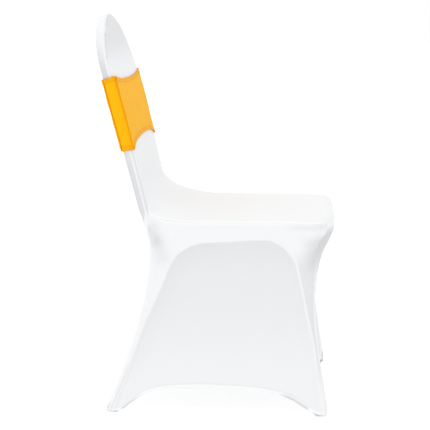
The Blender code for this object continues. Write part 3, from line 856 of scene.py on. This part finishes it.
def sashPlan():
    # shares (x, front to rear) and the turn of each corner, once round the back
    steps = np.linspace(-1, 1, sash["faceColumns"] + 1)[1:-1]
    steps = np.sign(steps) * np.sin(np.abs(steps) * np.pi / 2) ** 0.9
    plan = [(x, 0.0, None) for x in steps]
    plan += [(1.0, 0.0, a) for a in np.linspace(0, 90, 6)]
    plan += [(1.0, y, None) for y in (0.2, 0.35, 0.5, 0.65)]
    plan += [(1.0, 1.0, a) for a in np.linspace(90, 0, 8)]
    plan += [(x, 1.0, None) for x in steps[::-1]]
    plan += [(-1.0, 1.0, a) for a in np.linspace(0, 90, 8)]
    plan += [(-1.0, y, None) for y in (0.65, 0.5, 0.35, 0.2)]
    plan += [(-1.0, 0.0, a) for a in np.linspace(90, 0, 6)]
    return plan


def sashGrid():
    half = cover["backHalf"] + sash["out"]
    columns = []
    for xShare, yShare, angle in sashPlan():
        low, high = readTable(sashEdges, abs(xShare), 1), readTable(sashEdges, abs(xShare), 2)
        drop = mix(sash["slantBottom"], sash["slantTop"], evenShares(sash["rows"])) * yShare
        height = mix(low, high, evenShares(sash["rows"])) - drop
        front, rear = frontFace(height) - sash["out"], rearFace(height) + sash["out"]
        x, depth = half * xShare, mix(front, rear, yShare)
        if angle is not None:
            radius = crown["edgeRadius"] if yShare else sash["frontRadius"]
            turn = math.radians(angle)
            x -= math.copysign(radius * (1 - math.sin(turn)), xShare)
            depth = depth + math.copysign(radius * (1 - math.cos(turn)), 0.5 - yShare)
        columns.append(np.stack([height * 0 + x, depth, height], 1))
    columns.append(columns[0])
    return np.array(columns).transpose(1, 0, 2)


def buildSash():
    grid = sashGrid()
    _, _, top, bottom = edgeDistance(grid)
    edge = np.minimum(top, bottom)
    normal = gridNormals(grid)
    centre = np.array([0.0, -0.04, 0.70])
    facing = np.sign(((grid - centre) * normal).sum(axis=2).mean())
    lift = 0.0008 * smoothStep((sash["hem"] - edge) / 0.0015)
    lift = lift - 0.0007 * ridge(edge - sash["hem"] - 0.0008, 0.0013)
    lift = lift + 0.0006 * ridge(edge - 0.001, 0.002)
    streaks = uneven(grid * np.array([1.0, 1.0, 0.12]), 0.008, 1.0)
    lift = lift + 0.0005 * streaks + uneven(grid, 0.05, 0.0006)
    # painted shade in the hem's stitch line, at the band's edges and in its streaks' folds
    shadeAndSoleMark = 0.32 * ridge(edge - sash["hem"] - 0.0004, 0.0011) + 0.45 * rise(edge, 0.0018, 0.0006)
    shadeAndSoleMark = np.clip(shadeAndSoleMark + 0.35 * np.clip(streaks - 0.1, 0, 1), 0, 1)
    grid = grid + normal * facing * lift[:, :, None]
    grid[:, -1] = grid[:, 0]
    piece = makeSheet("sashBand", grid, {"edge": edge, "shadeAndSoleMark": shadeAndSoleMark}, flip=facing < 0, thickness=0.0013)
    print("sash made", len(piece.data.polygons))
    return piece


pocket = {
    "length": 0.024,
    "width": 0.026,
    "outerX": 0.2135,
    "front": -0.5060,
    "rear": -0.0035,
    "squareness": 0.75,
    "flat": (0.036, 0.030),
}
# share of the pocket's size, height
pocketProfile = (
    (1.00, 0.0125),
    (0.97, 0.0085),
    (0.90, 0.0048),
    (0.76, 0.0022),
    (0.40, 0.0014),
)


def buildPocket(name, side, outer, inward):
    sizes = np.array(pocketProfile)
    line = smoothLine(sizes * np.array([pocket["length"] / 2, 1.0]), 0.0004, 0.0008)
    angle = np.linspace(0, 2 * np.pi, 73)[:-1]
    cos, sin = np.cos(angle), np.sin(angle)
    x = np.sign(cos) * np.abs(cos) ** pocket["squareness"]
    y = np.sign(sin) * np.abs(sin) ** pocket["squareness"]
    middleX = side * (pocket["outerX"] - pocket["width"] / 2)
    middleY = outer + inward * pocket["length"] / 2
    rings = [np.stack([middleX + x * r, middleY + y * r, x * 0 + z], 1) for r, z in line]
    rings.append(np.stack([middleX + x * 0, middleY + x * 0, x * 0 + line[-1, 1]], 1))
    grid = np.array(rings)
    grid = np.concatenate([grid, grid[:, :1]], 1)
    none = np.zeros(grid.shape[:2])
    # darker towards the bottom: partly the pocket's own darker bottom, partly painted shade where it turns
    # under
    soleAndShade = rise(grid[:, :, 2], 0.0040, 0.0010)
    piece = makeSheet(name, grid, panelMarks(grid, none, soleAndShade, none + 0.02))
    return piece


def linear(hexColour):
    # sRGB hex to the linear colour that the shader takes
    values = [int(hexColour[k:k + 2], 16) / 255 for k in (1, 3, 5)]
    return tuple(v / 12.92 if v <= 0.04045 else ((v + 0.055) / 1.055) ** 2.4 for v in values) + (1.0,)


def addNode(tree, kind, settings=None, links=None):
    # one node, its settings by attribute or socket name, and its inputs by link
    node = tree.nodes.new(kind)
    for key, value in (settings or {}).items():
        if key in node.inputs.keys():
            node.inputs[key].default_value = value
        elif isinstance(key, int):
            node.inputs[key].default_value = value
        else:
            setattr(node, key, value)
    for key, output in (links or {}).items():
        tree.links.new(output, node.inputs[key])
    return node


def newMaterial(name, finish):
    material = bpy.data.materials.new(name)
    material.use_nodes = True
    shader = material.node_tree.nodes["Principled BSDF"]
    for key, value in finish.items():
        shader.inputs[key].default_value = value
    return material, material.node_tree, shader


whiteFinish = {"Roughness": 0.75, "Sheen Weight": 0.15, "Sheen Roughness": 0.5, "Specular IOR Level": 0.2}
goldenFinish = {"Roughness": 0.6, "Sheen Weight": 0.06, "Sheen Roughness": 0.4, "Specular IOR Level": 0.06}
tableFinish = {"Roughness": 0.9, "Specular IOR Level": 0.0}
# backed is the cloth's own white; the paler tone is broad painted shade, the deeper tone painted shade in
# folds, seams and under overhangs, and along the feet partly the pockets' own darker bottoms
whiteColours = {"backed": "#ECEDEE", "paleShadeTone": "#DDDEE0", "shadeAndSoleTone": "#CACACC"}
# the pocket's doubled cloth is a grey white, partly its own colour and partly painted shade as it faces down
pocketColours = {"backed": "#D0CFC8", "paleShadeTone": "#D0CFC8", "shadeAndSoleTone": "#AFAEA6"}


# real pitch about 0.6 mm, drawn twice as coarse so that it shows
knit = {
    "wale": 0.0012,              # across
    "course": 0.0010,            # down
    "bumpDistance": 0.0002,
    "whiteBump": 0.12,
    "goldenBump": 0.15,
}


def addKnitBump(tree, shader, strength):
    # rows of loops, in metres of cloth
    uv = addNode(tree, "ShaderNodeUVMap", {"uv_map": "UVMap"})
    split = addNode(tree, "ShaderNodeSeparateXYZ", links={0: uv.outputs[0]})
    waves = []
    for pitch, metres in ((knit["wale"], split.outputs[0]), (knit["course"], split.outputs[1])):
        turn = addNode(tree, "ShaderNodeMath", {"operation": "MULTIPLY", 1: 2 * math.pi / pitch}, {0: metres})
        waves.append(addNode(tree, "ShaderNodeMath", {"operation": "SINE"}, {0: turn.outputs[0]}).outputs[0])
    loops = addNode(tree, "ShaderNodeMath", {"operation": "MULTIPLY"}, {0: waves[0], 1: waves[1]})
    settings = {"Strength": strength, "Distance": knit["bumpDistance"]}
    bump = addNode(tree, "ShaderNodeBump", settings, {"Height": loops.outputs[0]})
    tree.links.new(bump.outputs[0], shader.inputs["Normal"])


def blend(tree, factor, first, second):
    # two colours, not clamped, so that a shade can also go past either of them
    node = addNode(tree, "ShaderNodeMix", {"data_type": "RGBA", "clamp_factor": False}, {"Factor": factor})
    if isinstance(first, str):
        node.inputs[6].default_value = linear(first)
    else:
        tree.links.new(first, node.inputs[6])
    node.inputs[7].default_value = linear(second)
    return node.outputs[2]


def whiteKnit(name, colours):
    # warp-knit nylon and elastane, heat set: smooth, matt and faintly see-through; where nothing backs it
    # its colour is painted darker, as the shade of the dark inside showing through
    material, tree, shader = newMaterial(name, whiteFinish)
    addKnitBump(tree, shader, knit["whiteBump"])
    mark = {}
    for key in ("inside", "broadShade", "shadeAndSoleMark", "hem"):
        mark[key] = addNode(tree, "ShaderNodeAttribute", {"attribute_name": key}).outputs["Fac"]
    frameEdge = {"From Min": -0.0012, "From Max": 0.0026}
    hemEdge = {"From Min": 0.0090, "From Max": 0.0106}
    # the broad painted shade shows only where the cloth is neither on the frame nor doubled at the hem
    unbacked = addNode(tree, "ShaderNodeMapRange", frameEdge, {"Value": mark["inside"]}).outputs[0]
    single = addNode(tree, "ShaderNodeMapRange", hemEdge, {"Value": mark["hem"]}).outputs[0]
    bare = addNode(tree, "ShaderNodeMath", {"operation": "MULTIPLY"}, {0: unbacked, 1: single}).outputs[0]
    share = addNode(tree, "ShaderNodeMath", {"operation": "MULTIPLY"}, {0: bare, 1: mark["broadShade"]}).outputs[0]
    colour = blend(tree, share, colours["backed"], colours["paleShadeTone"])
    # painted shade towards the deeper tone, and past the base for painted highlights
    tree.links.new(blend(tree, mark["shadeAndSoleMark"], colour, colours["shadeAndSoleTone"]), shader.inputs["Base Color"])
    return material


# hem and body are the dye; the deeper tone is painted shade; sheen tints the shader's own sheen
goldenColours = {"hem": "#F4AC08", "body": "#F8B60A", "shadeAndSoleTone": "#D88C00", "sheen": "#FFE2A8"}


def goldenKnit():
    # the sash: the same knit dyed golden yellow
    material, tree, shader = newMaterial("goldenStretchKnit", goldenFinish)
    shader.inputs["Sheen Tint"].default_value = linear(goldenColours["sheen"])
    edge = addNode(tree, "ShaderNodeAttribute", {"attribute_name": "edge"}).outputs["Fac"]
    shadeAndSoleMark = addNode(tree, "ShaderNodeAttribute", {"attribute_name": "shadeAndSoleMark"}).outputs["Fac"]
    hemEdge = {"From Min": 0.0082, "From Max": 0.0096}
    body = addNode(tree, "ShaderNodeMapRange", hemEdge, {"Value": edge}).outputs[0]
    colour = blend(tree, body, goldenColours["hem"], goldenColours["body"])
    # painted shade towards the deeper tone
    tree.links.new(blend(tree, shadeAndSoleMark, colour, goldenColours["shadeAndSoleTone"]), shader.inputs["Base Color"])
    addKnitBump(tree, shader, knit["goldenBump"])
    return material


studio = {
    "place": (-2.8976, -0.1248, 0.4683),   # the camera, level with the top of the back
    "turn": 3.988,               # degrees from square on to the side, towards the back
    "tilt": 9.75,
    "lens": 100.93,
    "world": 1.0,                # brightness at the horizon
    "ceiling": 1.22,             # and overhead
    "frontDim": 0.17,            # how much dimmer the front is
    "floor": 0.25,
    "floorGlow": 0.86,
    "key": 1.2,
    "keyOffset": (-1.6, 1.2, 1.9),
    "keySize": 1.4,
    "floorSize": 60,
}


def addCamera():
    turn, tilt = math.radians(studio["turn"]), math.radians(studio["tilt"])
    forward = Vector((math.cos(turn) * math.cos(tilt), math.sin(turn) * math.cos(tilt), -math.sin(tilt)))
    bpy.ops.object.camera_add(location=studio["place"])
    camera = bpy.context.object
    camera.rotation_euler = forward.to_track_quat("-Z", "Y").to_euler()
    camera.data.lens = studio["lens"]
    camera.data.sensor_width = 36
    bpy.context.scene.camera = camera
    return (Vector(cadBox[0]) + Vector(cadBox[1])) / 2


def addSoftbox(name, aim, offset, size, power):
    bpy.ops.object.light_add(type="AREA", location=aim + Vector(offset))
    light = bpy.context.object
    light.name = name
    light.data.shape = "DISK"
    light.data.size = size
    light.data.energy = power
    light.rotation_euler = (-Vector(offset)).to_track_quat("-Z", "Y").to_euler()


def addStudio(aim):
    bpy.ops.mesh.primitive_plane_add(size=studio["floorSize"], location=(0, 0, cadBox[0][2]))
    floor = bpy.context.object
    floor.name = "floor"
    material, _, shader = newMaterial("opalAcrylicTable", tableFinish)
    shader.inputs["Base Color"].default_value = (studio["floor"],) * 3 + (1.0,)
    shader.inputs["Emission Color"].default_value = (1, 1, 1, 1)
    shader.inputs["Emission Strength"].default_value = studio["floorGlow"]
    floor.data.materials.append(material)
    world = bpy.data.worlds.new("studio")
    world.use_nodes = True
    tree = world.node_tree
    background = tree.nodes["Background"]
    background.inputs[0].default_value = (1, 1, 1, 1)
    direction = addNode(tree, "ShaderNodeTexCoord")
    axes = addNode(tree, "ShaderNodeSeparateXYZ", links={0: direction.outputs["Generated"]})
    top = addNode(
        tree, "ShaderNodeMapRange",
        {"From Min": 0.1, "From Max": 0.9, "To Min": studio["world"], "To Max": studio["ceiling"]},
        {"Value": axes.outputs[2]},
    )
    front = addNode(
        tree, "ShaderNodeMapRange",
        {"From Min": -0.20, "From Max": -0.85, "To Min": 0.0, "To Max": studio["frontDim"]},
        {"Value": axes.outputs[1]},
    )
    links = {0: top.outputs[0], 1: front.outputs[0]}
    strength = addNode(tree, "ShaderNodeMath", {"operation": "SUBTRACT"}, links)
    tree.links.new(strength.outputs[0], background.inputs[1])
    bpy.context.scene.world = world
    addSoftbox("keyLight", aim, studio["keyOffset"], studio["keySize"], studio["key"])
    bpy.context.scene.view_settings.view_transform = "Standard"


def finishPiece(piece, node, material):
    piece.data.materials.clear()
    piece.data.materials.append(material)
    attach(piece, "root")
    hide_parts(node)


aim = addCamera()
addStudio(aim)
whiteCloth = whiteKnit("whiteStretchKnit", whiteColours)
pocketCloth = whiteKnit("pocketKnitDoubledAndShaded", pocketColours)
golden = goldenKnit()

front = buildFrontPanel()
finishPiece(front, "front_panel", whiteCloth)
back = buildBackPanel()
finishPiece(back, "back_panel", whiteCloth)
for label, side in (("left", 1), ("right", -1)):
    panel = buildSidePanel(f"sidePanel{label.title()}", side)
    finishPiece(panel, f"side_panel_{label}", whiteCloth)
band = buildSash()
finishPiece(band, "sash_band", golden)
for end, outer, inward in (("front", pocket["front"], 1), ("rear", pocket["rear"], -1)):
    for label, side in (("left", 1), ("right", -1)):
        foot = buildPocket(f"footPocket{end.title()}{label.title()}", side, outer, inward)
        finishPiece(foot, f"foot_pocket_{end}_{label}", pocketCloth)
print("foot pockets made")
